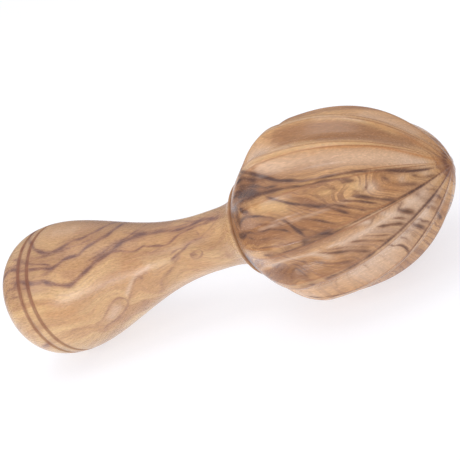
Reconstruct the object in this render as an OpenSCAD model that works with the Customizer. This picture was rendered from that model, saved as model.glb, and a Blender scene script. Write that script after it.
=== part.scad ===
// Hand-turned wooden citrus reamer, lying at rest on its handle bulb and on
// two crests of its fluted head. X runs along its length, towards the tip.

/* [Handle] */
// Length from the butt end to the shoulder where the head sits
handle_len = 98.7; // [88:0.1:110]
// Diameter of the bulb at its fattest
bulb_d = 42.2; // [34:0.2:48]
// Distance from the butt end to the fattest part of the bulb
bulb_pos = 19.5; // [14:0.5:26]
// Fullness of the rounded butt end, where 2 is an ellipse
butt_fullness = 2.6; // [2:0.1:3.5]
// Diameter of the neck at its slimmest
neck_d = 18.2; // [16:0.2:24]
// Distance from the butt end to the slimmest part of the neck
neck_pos = 78; // [64:1:82]
// How early the bulb starts to thin towards the neck, where 1 is even
taper_start = 0.83; // [0.7:0.01:1]
// How late the neck flares out under the lip
flare_sharpness = 4.3; // [2:0.1:6]

/* [Lip] */
// Diameter of the thin lip between neck and head
lip_d = 30.4; // [28:0.2:33]
// Thickness of the lip
lip_t = 1.1; // [0.9:0.1:3]
// Rounding of the lip's lower edge
lip_edge = 0.3; // [0.1:0.1:0.4]
// Width of the groove between lip and head
seam_w = 1; // [0.4:0.1:1.4]
// Depth of the groove between lip and head
seam_depth = 0.9; // [0.3:0.1:1.5]

/* [Burnt rings] */
// Number of burnt rings round the bulb
ring_count = 2; // [1:1:3]
// Distance from the butt end to the first ring
ring_pos = 16.5; // [12:0.5:24]
// Spacing of the rings
ring_pitch = 4; // [2:0.5:6]
// Width of each ring at the surface
ring_w = 1.3; // [0.8:0.1:1.6]
// Depth of each ring
ring_depth = 0.4; // [0.2:0.05:0.6]

/* [Head] */
// Length of the head from the shoulder to the tip
head_len = 66.3; // [56:0.1:78]
// Largest diameter of the head, over its crests
head_d = 54.4; // [48:0.2:60]
// Distance from the shoulder to the fattest part of the head
belly_pos = 20.3; // [16:0.1:28]
// Diameter of the head's foot at its outer edge
foot_d = 30.4; // [28:0.2:34]
// Fullness of the curve from belly to tip
nose_fullness = 2.46; // [1.8:0.02:3]
// Bluntness of the tip, where 1 is the sharpest
tip_bluntness = 1.31; // [1.1:0.01:1.8]

/* [Flutes] */
// Number of flutes carved in the head
flute_count = 12; // [8:1:14]
// Steepness of the flute walls, as rise over run
wall_slope = 0.42; // [0.3:0.01:0.6]
// Rounding along the bottom of a flute, as a share of its half width
bottom_round = 0.15; // [0.05:0.01:0.4]
// Distance from the shoulder to where the flutes begin
flute_start = 2.3; // [1:0.1:6]
// Length over which a flute reaches its full depth
flute_run = 9; // [5:0.5:16]
// Width of the crest between two flutes at the foot, in degrees
crest_foot = 10; // [4:0.5:12]
// Width of the crest between two flutes at the tip, in degrees
crest_tip = 3; // [1:0.5:4]
// How far the hand-cut crests wander from even spacing, where 1 is as seen
crest_wander = 1; // [0:0.1:1]

/* [Tenon] */
// Diameter of the tenon that the head is glued on
tenon_d = 12; // [9:0.5:15]
// Length of the tenon above the shoulder
tenon_len = 18; // [12:1:26]
// Glue gap round the tenon, on the radius
glue_gap = 0.1; // [0.05:0.01:0.2]
// Free depth of the socket beyond the tenon's end
end_gap = 1; // [0.5:0.1:2]
// Chamfer on the tenon's end
tenon_chamfer = 1; // [0.4:0.1:1.5]

/* [Hidden] */
// How far each crest sits from its even place, in degrees
CREST_DRIFT = [-2, 0.5, 3, 6, 12.5, 8.5, 7.5, 2, 5.5, 4, 0.5, 2];
// Places of the points across a flute, from one wall's top to the other's
ACROSS = [-1, -0.65, -0.35, -0.15, 0, 0.15, 0.35, 0.65, 1];
BUTT_STEPS = 16;
GRIP_STEPS = 26;
FLARE_STEPS = 14;
EDGE_STEPS = 4;
FOOT_STEPS = 12;
NOSE_STEPS = 18;
ROUND_FN = 96;
SETTLE_STEPS = 6;

bulb_r = bulb_d / 2;
neck_r = neck_d / 2;
lip_r = lip_d / 2;
head_r = head_d / 2;
foot_r = foot_d / 2;
tenon_r = tenon_d / 2;
socket_r = tenon_r + glue_gap;
socket_depth = tenon_len + end_gap;
lip_start = handle_len - lip_t;
seam_r = min(lip_r, foot_r) - seam_depth;

// Outline of the handle as [radius, distance from the butt end]
function butt_point(a) = [
    bulb_r * pow(sin(a), 2 / butt_fullness),
    bulb_pos * (1 - pow(cos(a), 2 / butt_fullness))
];
function grip_fade(t) = (1 + cos(180 * pow(t, taper_start))) / 2;
function grip_point(t) = [
    neck_r + (bulb_r - neck_r) * grip_fade(t),
    bulb_pos + (neck_pos - bulb_pos) * t
];
function flare_point(t) = [
    neck_r + (lip_r - lip_edge - neck_r) * pow(t, flare_sharpness),
    neck_pos + (lip_start - neck_pos) * t
];
function edge_point(a) = [
    lip_r - lip_edge * (1 - sin(a)),
    lip_start + lip_edge * (1 - cos(a))
];

BUTT_LINE = [for (k = [0:BUTT_STEPS]) butt_point(90 * k / BUTT_STEPS)];
GRIP_LINE = [for (k = [1:GRIP_STEPS]) grip_point(k / GRIP_STEPS)];
FLARE_LINE = [for (k = [1:FLARE_STEPS]) flare_point(k / FLARE_STEPS)];
EDGE_LINE = [for (k = [1:EDGE_STEPS]) edge_point(90 * k / EDGE_STEPS)];
SEAM_LINE = [
    [lip_r, handle_len - seam_w / 2],
    [seam_r, handle_len]
];
TENON_LINE = [
    [tenon_r, handle_len],
    [tenon_r, handle_len + tenon_len - tenon_chamfer],
    [tenon_r - tenon_chamfer, handle_len + tenon_len],
    [0, handle_len + tenon_len]
];
BODY_LINE = concat(BUTT_LINE, GRIP_LINE, FLARE_LINE, EDGE_LINE, SEAM_LINE);

// Radius over the crests at a height h above the shoulder
function foot_curve(h) = foot_r + (head_r - foot_r) * sin(90 * h / belly_pos);
function nose_share(h) = min(1, (h - belly_pos) / (head_len - belly_pos));
function nose_curve(h) = head_r * pow(1 - pow(nose_share(h), nose_fullness), 1 / tip_bluntness);
function turned_r(h) = h < belly_pos ? foot_curve(h) : nose_curve(h);
function seam_share(h) = min(1, 2 * h / seam_w);
function crest_r(h) = seam_r + (turned_r(h) - seam_r) * seam_share(h);

// Direction of each crest about the axis, in degrees from straight down
function drift(i) = i == flute_count - 1 ? -CREST_DRIFT[0] : CREST_DRIFT[i % len(CREST_DRIFT)];
function crest_dir(i) = (360 * (i + 0.5) + 12 * crest_wander * drift(i)) / flute_count;
function next_dir(i) = i == flute_count - 1 ? crest_dir(0) + 360 : crest_dir(i + 1);
function flute_dir(i) = (crest_dir(i) + next_dir(i)) / 2;

// Half angles of crest and flute, and the flute's depth, at a height h
function crest_half(h) = (crest_tip + (crest_foot - crest_tip) * pow(1 - h / head_len, 3)) / 2;
function flute_half(i, h) = (next_dir(i) - crest_dir(i)) / 2 - crest_half(h);
function cut_share(h) = min(1, max(0, (h - flute_start) / flute_run));
function cut_fade(h) = (1 - cos(180 * cut_share(h))) / 2;
function flute_depth(i, h) = cut_fade(h) * wall_slope * crest_r(h) * flute_half(i, h) * PI / 180;
function vee(f) = (sqrt(1 + bottom_round * bottom_round) - sqrt(f * f + bottom_round * bottom_round))
    / (sqrt(1 + bottom_round * bottom_round) - bottom_round);
function head_point(i, f, h) =
    let (a = flute_dir(i) + f * flute_half(i, h), r = crest_r(h) - vee(f) * flute_depth(i, h))
    [r * cos(a), r * sin(a), handle_len + h];

// Heights of the rings of points that carry the head's surface
FOOT_HEIGHTS = [for (k = [1:FOOT_STEPS]) seam_w / 2 + (belly_pos - seam_w / 2) * k / FOOT_STEPS];
NOSE_HEIGHTS = [
    for (k = [1:NOSE_STEPS - 1])
        belly_pos + (head_len - belly_pos) * (1 - pow(1 - k / NOSE_STEPS, 1.5))
];
HEIGHTS = concat([0, seam_w / 2], FOOT_HEIGHTS, NOSE_HEIGHTS);
AROUND = flute_count * len(ACROSS);
RINGS = len(HEIGHTS);
HEAD_SKIN = [
    for (h = HEIGHTS)
        for (i = [0:flute_count - 1])
            for (f = ACROSS)
                head_point(i, f, h)
];
HEAD_TIP = [0, 0, handle_len + head_len];
HEAD_POINTS = concat(HEAD_SKIN, [HEAD_TIP]);
function skin_id(ring, k) = ring * AROUND + k % AROUND;
SIDE_FACES = [
    for (ring = [0:RINGS - 2])
        for (k = [0:AROUND - 1])
            for (half = [0, 1])
                half == 0
                    ? [skin_id(ring, k), skin_id(ring + 1, k), skin_id(ring, k + 1)]
                    : [skin_id(ring, k + 1), skin_id(ring + 1, k), skin_id(ring + 1, k + 1)]
];
TIP_FACES = [
    for (k = [0:AROUND - 1])
        [skin_id(RINGS - 1, k), RINGS * AROUND, skin_id(RINGS - 1, k + 1)]
];
FOOT_FACE = [[for (k = [0:AROUND - 1]) k]];
HEAD_FACES = concat(FOOT_FACE, SIDE_FACES, TIP_FACES);

// Tilt, tip up, at which bulb and crests both touch the ground
function reach(t, p) = p[0] * cos(t) - p[1] * sin(t);
function bulb_low(t) = max([for (p = concat(BUTT_LINE, GRIP_LINE)) reach(t, p)]);
function head_low(t) = max([for (p = HEAD_SKIN) reach(t, [p[0], p[2]])]);
function settle(t, rounds) = rounds < 1
    ? t
    : settle(t + (head_low(t) - bulb_low(t)) * 180 / PI / (handle_len + belly_pos - bulb_pos), rounds - 1);
REST_TILT = settle(0, SETTLE_STEPS);

function along(t, p) = p[1] * cos(t) + p[0] * sin(t);
BACK_END = min([for (p = BUTT_LINE) along(REST_TILT, [-p[0], p[1]])]);
FRONT_END = max([for (p = HEAD_POINTS) along(REST_TILT, [p[0], p[2]])]);
SIDES = [for (p = HEAD_SKIN) p[1]];
SHIFT = [
    -(BACK_END + FRONT_END) / 2,
    -(min(SIDES) + max(SIDES)) / 2,
    bulb_low(REST_TILT)
];

module at_rest() {
    translate(SHIFT)
        rotate([0, 90 - REST_TILT, 0])
            children();
}

module burnt_ring(pos) {
    bite_r = (ring_w * ring_w / 4 + ring_depth * ring_depth) / (2 * ring_depth);
    rotate_extrude($fn = ROUND_FN)
        translate([ring_surface_r(pos) - ring_depth + bite_r, pos])
            circle(r = bite_r, $fn = 24);
}

function ring_surface_r(pos) = pos < bulb_pos
    ? bulb_r * pow(1 - pow(1 - pos / bulb_pos, butt_fullness), 1 / butt_fullness)
    : grip_point((pos - bulb_pos) / (neck_pos - bulb_pos))[0];

module handle() {
    color([0.79, 0.62, 0.44])
        at_rest()
            difference() {
                rotate_extrude($fn = ROUND_FN)
                    polygon(concat(BODY_LINE, TENON_LINE));
                for (k = [0:ring_count - 1])
                    burnt_ring(ring_pos + k * ring_pitch);
            }
}

module reamer_head() {
    color([0.74, 0.55, 0.39])
        at_rest()
            difference() {
                polyhedron(points = HEAD_POINTS, faces = HEAD_FACES, convexity = 6);
                translate([0, 0, handle_len - 1])
                    cylinder(r = socket_r, h = socket_depth + 1, $fn = ROUND_FN);
            }
}

reamer_head();
handle();
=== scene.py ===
"""A hand-turned wooden citrus reamer, lying on its bulb and two of its crests.

Sizes are in millimetres until they reach Blender, which works in metres.
'along' is the distance from the butt end towards the tip, and 'around' is the
turn about the axis in degrees from straight down.
"""

import math

import bpy
import numpy as np
from mathutils import Matrix, Vector
from mathutils.bvhtree import BVHTree


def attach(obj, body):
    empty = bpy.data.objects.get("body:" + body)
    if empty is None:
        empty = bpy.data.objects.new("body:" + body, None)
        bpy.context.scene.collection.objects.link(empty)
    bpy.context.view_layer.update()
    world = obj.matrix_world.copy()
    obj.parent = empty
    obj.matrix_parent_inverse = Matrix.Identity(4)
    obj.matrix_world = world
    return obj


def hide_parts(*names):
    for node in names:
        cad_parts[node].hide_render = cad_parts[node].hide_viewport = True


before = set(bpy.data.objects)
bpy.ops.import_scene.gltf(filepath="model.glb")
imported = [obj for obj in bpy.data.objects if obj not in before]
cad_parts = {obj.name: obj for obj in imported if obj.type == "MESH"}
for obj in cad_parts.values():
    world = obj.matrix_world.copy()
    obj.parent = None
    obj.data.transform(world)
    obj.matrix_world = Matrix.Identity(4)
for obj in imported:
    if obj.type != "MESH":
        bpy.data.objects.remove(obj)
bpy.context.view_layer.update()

MM = 0.001

# Handle
SHOULDER = 98.7
BULB_RADIUS = 21.1
BULB_AT = 19.5
BUTT_FULLNESS = 2.6
NECK_RADIUS = 9.1
NECK_AT = 78.0
TAPER_START = 0.83
FLARE_SHARPNESS = 4.3
LIP_RADIUS = 15.2
LIP_THICKNESS = 1.1
LIP_EDGE = 0.3
SEAM_WIDTH = 1.0
SEAM_DEPTH = 0.9
RING_PLACES = (16.5, 20.5)
RING_WIDTH = 1.3
RING_DEPTH = 0.4
TENON_RADIUS = 6.0
TENON_LENGTH = 18.0
TENON_CHAMFER = 1.0

# Head. Its crests are given by their turn about the axis
HEAD_LENGTH = 66.3
HEAD_RADIUS = 27.2
BELLY_AT = 20.3
FOOT_RADIUS = 15.2
NOSE_FULLNESS = 2.46
TIP_BLUNTNESS = 1.31
SOCKET_RADIUS = 6.1
SOCKET_DEPTH = 19.0
CRESTS = (13, 45.5, 78, 111, 147.5, 173.5, 202.5, 227, 260.5, 289, 315.5, 347)

# How the whole lies: its tilt in degrees, and where its butt end is
REST_TILT = 3.2
SHIFT = Vector((-82.309, 0.084, 20.083)) * MM

# Steps along each stretch of the two outlines
BUTT_STEPS = 48
TAPER_STEPS = 160
RING_STEPS = 5
FLARE_STEPS = 60
LIP_STEPS = 8
SEAM_STEPS = 6
FOOT_STEPS = 56
NOSE_STEPS = 150
NOSE_CROWDING = 1.5


class Amount:
    """A number inside a node tree. Arithmetic on it adds Math nodes."""

    def __init__(self, tree, socket):
        self.tree = tree
        self.socket = socket

    def __add__(self, other):
        return reckon(self.tree, "ADD", self, other)

    def __radd__(self, other):
        return reckon(self.tree, "ADD", other, self)

    def __sub__(self, other):
        return reckon(self.tree, "SUBTRACT", self, other)

    def __rsub__(self, other):
        return reckon(self.tree, "SUBTRACT", other, self)

    def __mul__(self, other):
        return reckon(self.tree, "MULTIPLY", self, other)

    def __rmul__(self, other):
        return reckon(self.tree, "MULTIPLY", other, self)

    def __truediv__(self, other):
        return reckon(self.tree, "DIVIDE", self, other)

    def __pow__(self, other):
        return reckon(self.tree, "POWER", self, other)


def feed(tree, socket, value):
    """Link an amount or an output into a socket, or set a plain value on it."""
    if isinstance(value, Amount):
        tree.links.new(value.socket, socket)
    elif isinstance(value, bpy.types.NodeSocket):
        tree.links.new(value, socket)
    elif socket.type == "RGBA":
        socket.default_value = (*value, 1)
    else:
        socket.default_value = value


def add_node(tree, kind, inputs=None, **settings):
    """A new node with its settings made and its inputs fed."""
    node = tree.nodes.new(kind)
    for name, value in settings.items():
        setattr(node, name, value)
    for name, value in (inputs or {}).items():
        feed(tree, node.inputs[name], value)
    return node


def reckon(tree, operation, *values, clamp=False):
    """One step of arithmetic in a node tree."""
    node = add_node(tree, "ShaderNodeMath", operation=operation, use_clamp=clamp)
    for socket, value in zip(node.inputs, values):
        feed(tree, socket, value)
    return Amount(tree, node.outputs[0])


def grip_radius(along):
    """Radius of the handle from butt end to neck, burnt rings cut in."""
    if along < BULB_AT:
        radius = BULB_RADIUS * (1 - (1 - along / BULB_AT) ** BUTT_FULLNESS) ** (1 / BUTT_FULLNESS)
    else:
        share = (along - BULB_AT) / (NECK_AT - BULB_AT)
        fade = (1 + math.cos(math.pi * share ** TAPER_START)) / 2
        radius = NECK_RADIUS + (BULB_RADIUS - NECK_RADIUS) * fade
    for place in RING_PLACES:
        off = abs(along - place) / (RING_WIDTH / 2)
        radius -= RING_DEPTH * max(0, 1 - off * off)
    return radius


def handle_outline():
    """Half outline of the handle, tenon included, from butt end up."""
    places = []
    for k in range(BUTT_STEPS):
        slope = math.cos(math.pi / 2 * k / BUTT_STEPS)
        places.append(BULB_AT * (1 - slope ** (2 / BUTT_FULLNESS)))
    places += [BULB_AT + (NECK_AT - BULB_AT) * k / TAPER_STEPS for k in range(TAPER_STEPS + 1)]
    for ring in RING_PLACES:
        places = [place for place in places if abs(place - ring) > RING_WIDTH / 2]
        places += [ring + RING_WIDTH / 2 * k / RING_STEPS for k in range(-RING_STEPS, RING_STEPS + 1)]
    points = [(grip_radius(place), place) for place in sorted(places)]
    lip_start = SHOULDER - LIP_THICKNESS
    for k in range(1, FLARE_STEPS + 1):
        t = k / FLARE_STEPS
        points.append((
            NECK_RADIUS + (LIP_RADIUS - LIP_EDGE - NECK_RADIUS) * t ** FLARE_SHARPNESS,
            NECK_AT + (lip_start - NECK_AT) * t,
        ))
    for k in range(1, LIP_STEPS + 1):
        turn = math.pi / 2 * k / LIP_STEPS
        points.append((
            LIP_RADIUS - LIP_EDGE * (1 - math.sin(turn)),
            lip_start + LIP_EDGE * (1 - math.cos(turn)),
        ))
    points += [
        (LIP_RADIUS, SHOULDER - SEAM_WIDTH / 2),
        (LIP_RADIUS - SEAM_DEPTH, SHOULDER),
        (TENON_RADIUS, SHOULDER),
        (TENON_RADIUS, SHOULDER + TENON_LENGTH - TENON_CHAMFER),
        (TENON_RADIUS - TENON_CHAMFER, SHOULDER + TENON_LENGTH),
        (0, SHOULDER + TENON_LENGTH),
    ]
    return points


def head_radius(height):
    """Radius of the head over its crests, at a height above the shoulder."""
    if height < BELLY_AT:
        rise = math.sin(math.pi / 2 * height / BELLY_AT)
        return FOOT_RADIUS + (HEAD_RADIUS - FOOT_RADIUS) * rise
    share = min(1, (height - BELLY_AT) / (HEAD_LENGTH - BELLY_AT))
    return HEAD_RADIUS * (1 - share ** NOSE_FULLNESS) ** (1 / TIP_BLUNTNESS)


def socket_outline():
    """Half outline of the head's socket, out to the bottom of the seam."""
    return [
        (0, SHOULDER + SOCKET_DEPTH),
        (SOCKET_RADIUS, SHOULDER + SOCKET_DEPTH),
        (SOCKET_RADIUS, SHOULDER),
        (FOOT_RADIUS - SEAM_DEPTH, SHOULDER),
    ]


def crest_outline():
    """Half outline of the head over its crests, from the seam to the tip."""
    foot, nose = BELLY_AT - SEAM_WIDTH, HEAD_LENGTH - BELLY_AT
    heights = [SEAM_WIDTH * k / SEAM_STEPS for k in range(1, SEAM_STEPS)]
    heights += [SEAM_WIDTH + foot * k / FOOT_STEPS for k in range(FOOT_STEPS + 1)]
    for k in range(1, NOSE_STEPS + 1):
        heights.append(BELLY_AT + nose * (1 - (1 - k / NOSE_STEPS) ** NOSE_CROWDING))
    points = []
    for height in heights:
        sunk = SEAM_DEPTH * max(0, 1 - height / SEAM_WIDTH) ** 2
        points.append((head_radius(height) - sunk, SHOULDER + height))
    return points


def new_object(name, data):
    piece = bpy.data.objects.new(name, data)
    bpy.context.scene.collection.objects.link(piece)
    return piece


def outline_object(name, plain, carved):
    """A bare line of points, radius in X and along in Z, for the lathe tree."""
    points = plain + carved
    mesh = bpy.data.meshes.new(name)
    edges = [(k, k + 1) for k in range(len(points) - 1)]
    mesh.from_pydata([(radius, 0, along) for radius, along in points], edges, [])
    marks = mesh.attributes.new("carved", "FLOAT", "POINT")
    marks.data.foreach_set("value", [0.0] * len(plain) + [1.0] * len(carved))
    return new_object(name, mesh)


def lathe_tree():
    """Turns a half outline about the axis and carves flutes into it."""
    tree = bpy.data.node_groups.new("turn and flute", "GeometryNodeTree")
    sizes = ("Crest columns", "Wall slope", "Bottom round", "Crest at foot", "Crest at tip",
             "Flute start", "Flute run", "Shoulder", "Head length")
    sockets = [("Outline", "Geometry"), ("Columns", "Int")]
    sockets += [(name, "Float") for name in sizes]
    sockets += [("Turn", "Vector"), ("Shift", "Vector"), ("Material", "Material")]
    for name, kind in sockets:
        tree.interface.new_socket(name, in_out="INPUT", socket_type="NodeSocket" + kind)
    tree.interface.new_socket("Piece", in_out="OUTPUT", socket_type="NodeSocketGeometry")
    given = add_node(tree, "NodeGroupInput").outputs

    def size(name):
        return Amount(tree, given[name])

    def parts(vector):
        node = add_node(tree, "ShaderNodeSeparateXYZ", {"Vector": vector})
        return [Amount(tree, part) for part in node.outputs]

    position = add_node(tree, "GeometryNodeInputPosition").outputs[0]
    count = add_node(tree, "GeometryNodeAttributeDomainSize", {"Geometry": given["Outline"]})
    rows = Amount(tree, count.outputs["Point Count"])
    flutes = len(CRESTS)
    grid = add_node(tree, "GeometryNodeMeshGrid", {
        "Size X": 1, "Size Y": 1, "Vertices X": rows, "Vertices Y": size("Columns") * flutes + 1,
    })
    place = parts(position)
    row = reckon(tree, "ROUND", (place[0] + 0.5) * (rows - 1))
    column = (place[1] + 0.5) * flutes

    def from_outline(data_type, value):
        inputs = {"Geometry": given["Outline"], "Value": value, "Index": row}
        return add_node(tree, "GeometryNodeSampleIndex", inputs, data_type=data_type).outputs["Value"]

    spot = parts(from_outline("FLOAT_VECTOR", position))
    turned, along = spot[0], spot[2]
    mark = add_node(tree, "GeometryNodeInputNamedAttribute", {"Name": "carved"}, data_type="FLOAT")
    carved = Amount(tree, from_outline("FLOAT", mark.outputs["Attribute"]))

    nudge = 1e-4
    flute = reckon(tree, "MINIMUM", reckon(tree, "FLOOR", column + nudge), flutes - 1)
    offset = column - flute - 0.5

    def crest(index):
        node = add_node(tree, "GeometryNodeIndexSwitch", data_type="FLOAT")
        while len(node.index_switch_items) < flutes + 1:
            node.index_switch_items.new()
        for k in range(flutes + 1):
            node.inputs[k + 1].default_value = CRESTS[k % flutes] + 360 * (k // flutes)
        feed(tree, node.inputs["Index"], index)
        return Amount(tree, node.outputs[0])

    before = crest(flute)
    after = crest(flute + 1)
    height = reckon(tree, "MAXIMUM", along - size("Shoulder"), 0)
    left = reckon(tree, "MAXIMUM", 1 - height / size("Head length"), 0)
    crest_half = (size("Crest at tip") + (size("Crest at foot") - size("Crest at tip")) * left ** 3) / 2
    flute_half = (after - before) / 2 - crest_half
    edge = 0.5 - size("Crest columns") / size("Columns")
    side = reckon(tree, "SIGN", offset)
    from_middle = reckon(tree, "ABSOLUTE", offset)
    across = reckon(tree, "MINIMUM", from_middle / edge, 1)
    over = reckon(tree, "MAXIMUM", (from_middle - edge) / (0.5 - edge), 0)
    around = (before + after) / 2 + side * (across * flute_half + over * crest_half)

    share = reckon(tree, "MULTIPLY", (height - size("Flute start")) / size("Flute run"), 1, clamp=True)
    fade = (1 - reckon(tree, "COSINE", share * math.pi)) / 2
    depth = carved * fade * size("Wall slope") * turned * flute_half * math.radians(1)
    soft = size("Bottom round") * size("Bottom round")
    rim = reckon(tree, "SQRT", soft + 1)
    vee = (rim - reckon(tree, "SQRT", across * across + soft)) / (rim - size("Bottom round"))
    radius = (turned - vee * depth) * MM
    angle = around * math.radians(1)
    joined = add_node(tree, "ShaderNodeCombineXYZ", {
        "X": radius * reckon(tree, "COSINE", angle),
        "Y": radius * reckon(tree, "SINE", angle),
        "Z": along * MM,
    })

    geometry = grid.outputs["Mesh"]
    for name, value in (("along", along), ("crest", carved * over), ("across", carved * across)):
        inputs = {"Geometry": geometry, "Name": name, "Value": value}
        geometry = add_node(tree, "GeometryNodeStoreNamedAttribute", inputs, data_type="FLOAT").outputs[0]
    for kind, inputs in (
        ("GeometryNodeSetPosition", {"Position": joined.outputs[0]}),
        ("GeometryNodeMergeByDistance", {"Distance": 1e-6}),
        ("GeometryNodeFlipFaces", {}),
        ("GeometryNodeSetShadeSmooth", {}),
        ("GeometryNodeTransform", {"Rotation": given["Turn"], "Translation": given["Shift"]}),
        ("GeometryNodeRealizeInstances", {}),
        ("GeometryNodeSetMaterial", {"Material": given["Material"]}),
    ):
        node = add_node(tree, kind, inputs)
        tree.links.new(geometry, node.inputs[0])
        geometry = node.outputs[0]
    tree.links.new(geometry, add_node(tree, "NodeGroupOutput").inputs[0])
    return tree


def lathe(name, plain, carved, tree, material, sizes):
    """Run the lathe tree on an outline and keep the result as a plain mesh."""
    blank = outline_object(name + "_outline", plain, carved)
    modifier = blank.modifiers.new("turn", "NODES")
    modifier.node_group = tree
    turn = Vector((0, math.radians(90 - REST_TILT), 0))
    given = {**sizes, "Turn": turn, "Shift": SHIFT, "Material": material}
    for item in tree.interface.items_tree:
        if item.name in given:
            modifier[item.identifier] = given[item.name]
    seen = blank.evaluated_get(bpy.context.evaluated_depsgraph_get())
    mesh = bpy.data.meshes.new_from_object(seen)
    mesh.name = name
    bpy.data.objects.remove(blank)
    return new_object(name, mesh)


# Figure of the wood. Its lines lie where they show in the photograph, and
# the rest of the grain follows from them. CAMERA_SIDE is the turn that faces
# the camera, and from DRAWN_TO degrees away from it the wood has stray veins
# of its own
CAMERA_SIDE = 117.0
DRAWN_TO = 95.0
DRAWN_FADE = 30.0
MM_PER_DEGREE = 0.35
LINE_STEP = 0.25
LINE_REACH = 2.5
LINE_END = 0.3
FADE_LENGTH = 2.5
HALO = 0.25
HALO_WIDTH = 3.6
UNEVENNESS = 0.18
UNEVEN_RUN = 0.8
GRAIN_SLACK = 1.0
OUTSIDE = 60
BATCHES = 40
LAYERS = ("dark", "warm", "gold", "pale_and_sheen", "brown_and_shade", "calm", "burnt")

# Dark veins: half width, strength and the points that each runs through, as
# (along, degrees round from the side that faces the camera)
HANDLE_VEINS = (
    (0.6, 0.74, (17.2, -62), (19.2, -56.5), (20.6, -52), (22.5, -45.5), (25, -41.3), (27.8, -38),
     (30.5, -39.2), (33, -42), (34.8, -46.5), (36.5, -49.8), (38.8, -51.5), (41, -57.5), (42.8, -64),
     (44, -72), (45, -84), (45.2, -100), (43, -118), (37, -130), (30, -133), (22, -125), (17.5, -110),
     (15.5, -92), (15.8, -75), (17.2, -62)),
    (0.62, 0.8, (3, -20), (6, -26), (9, -30.5), (13, -31.5), (16, -29.5), (18.5, -26.8), (21, -25.6),
     (24, -25), (26.5, -24), (28.5, -22.8), (30.3, -22.3), (32.3, -24.8), (34.3, -28.6), (36.5, -30.2),
     (38.7, -30.6), (40.2, -34.5), (41.6, -39.5), (43.5, -44), (45.5, -49), (47.2, -54), (48.2, -61),
     (49, -70), (49.2, -80), (48.6, -95), (47, -115), (43, -135), (36, -148)),
    (0.72, 0.8, (14, -13), (16.5, -17.8), (18.5, -17.2), (20.3, -14.8), (23, -12.6), (26.3, -12),
     (28, -9.6), (30.5, -6.5), (33, -3.5), (35.5, -2), (38, -5.5), (41, -11), (43.5, -16), (46, -22),
     (48.5, -26.2), (50.5, -30.5), (51.8, -36), (53, -41), (55, -43.8), (56.8, -46.8), (58, -49.8),
     (60, -50.8), (63, -50), (66.3, -50.8), (68.5, -49), (70.5, -46.3), (73, -45.2), (76, -45), (79, -47.5),
     (82, -51), (84.3, -48), (86.5, -43.5), (88.5, -40.5), (90.5, -38.5)),
    (0.4, 0.6, (49.5, -27.5), (51.5, -27.8), (53.5, -27), (55.2, -24), (57, -22.2), (58.6, -23),
     (60, -26.3), (61, -28), (62.5, -25.8), (64.5, -23.5), (66.5, -21.8), (68, -19.6), (69.5, -20.5),
     (71, -24), (73, -31), (75.2, -35.5), (78, -38), (82, -39.5), (86, -38)),
    (0.35, 0.4, (60.5, -20.5), (62, -16), (63.5, -13.2), (65.2, -15), (66.8, -18), (68, -19.5)),
    (0.35, 0.4, (80, -30.5), (80.8, -26), (81.4, -21), (81.6, -15)),
    (0.35, 0.25, (61.5, 21), (63, 19), (65, 15.5), (67, 13), (69, 11), (70.5, 7)),
    (0.42, 0.6, (69, 11), (70.5, 7), (72.2, 3), (74, 0), (75.5, -4), (76.8, -8), (78.6, -11.5),
     (80.2, -12.8), (81.8, -12)),
    (0.32, 0.4, (80.2, -12.8), (81.8, -12), (83.2, -17), (84.7, -21), (86.5, -27), (88.5, -33)),
    (0.35, 0.45, (69.5, 0), (71, -3.5), (73, -6), (74.2, -5), (75.3, -3)),
    (0.6, 0.35, (57.5, 62), (59.5, 58.5), (60.8, 52), (61.5, 44), (63, 37), (65.5, 31), (67.3, 26.5),
     (68.8, 21.5), (70, 16.5), (72, 10), (73.5, 4)),
    (0.5, 0.35, (48.5, 46), (50, 40), (51.8, 34), (53.3, 28), (55, 20), (57, 15.5), (59, 15), (61, 15.5)),
    (0.35, 0.45, (34.2, 61), (36, 59.5), (38.5, 58.6), (41, 58), (43.5, 56), (46, 52.5), (48, 47.5),
     (48.7, 41), (48.2, 35), (47, 32.5), (45, 33.5), (43, 37.5), (41, 41.5), (38.8, 46), (36.5, 48.5),
     (34.5, 52)),
    (0.35, 0.25, (21.5, 61), (25, 62.3), (29, 62), (31, 60.5), (33, 58), (35, 57)),
    (1.2, 0.25, (22, 76), (26, 72), (30, 69.5), (34, 65), (38, 62), (43, 62), (48, 66), (53, 72), (56, 82)),
    (1.5, 0.25, (27, 86), (33, 78), (38, 72), (43, 72), (48, 78), (52, 88)),
    (0.35, 0.6, (15, -41), (16.8, -38), (18.2, -35), (19.5, -33.5), (21, -32), (23, -29.8), (26, -28.5),
     (28.5, -26.5), (30, -24.5)),
    (0.3, 0.5, (21, -37), (24, -35.3), (27, -34.8), (30, -36.3), (33, -38.5), (36, -41.2), (38.5, -43.7),
     (41, -47.5), (43, -51)),
    (0.25, 0.3, (21.5, -20), (24, -19.2), (27, -17.8), (30, -16.8)),
    (0.25, 0.3, (22, -17.3), (26, -18.5), (29, -19.2), (31.5, -20.5)),
    (0.25, 0.3, (9, -19), (12, -20.3), (15.5, -18.5)),
    (0.6, 0.4, (7, -6), (9.5, -9.5), (11.5, -9.8), (13, -8), (15, -6.3)),
    (0.25, 0.3, (21, -6), (24, -5.5), (28, -4)),
    (0.35, 0.55, (41, -21.5), (44, -24.5), (46.5, -28), (49, -34.5), (51, -39.5), (53, -44), (54.8, -49.5),
     (56.3, -57), (57.3, -64), (58.2, -74), (58.6, -88), (57, -110)),
    (0.4, 0.3, (66, -82), (69, -76), (71.5, -70), (73.5, -65), (75.5, -60.5), (78, -56), (81, -53)),
    (0.8, 0.3, (83, 14), (86, 10), (88.5, 5), (91, -3), (93, -12)),
)
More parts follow.
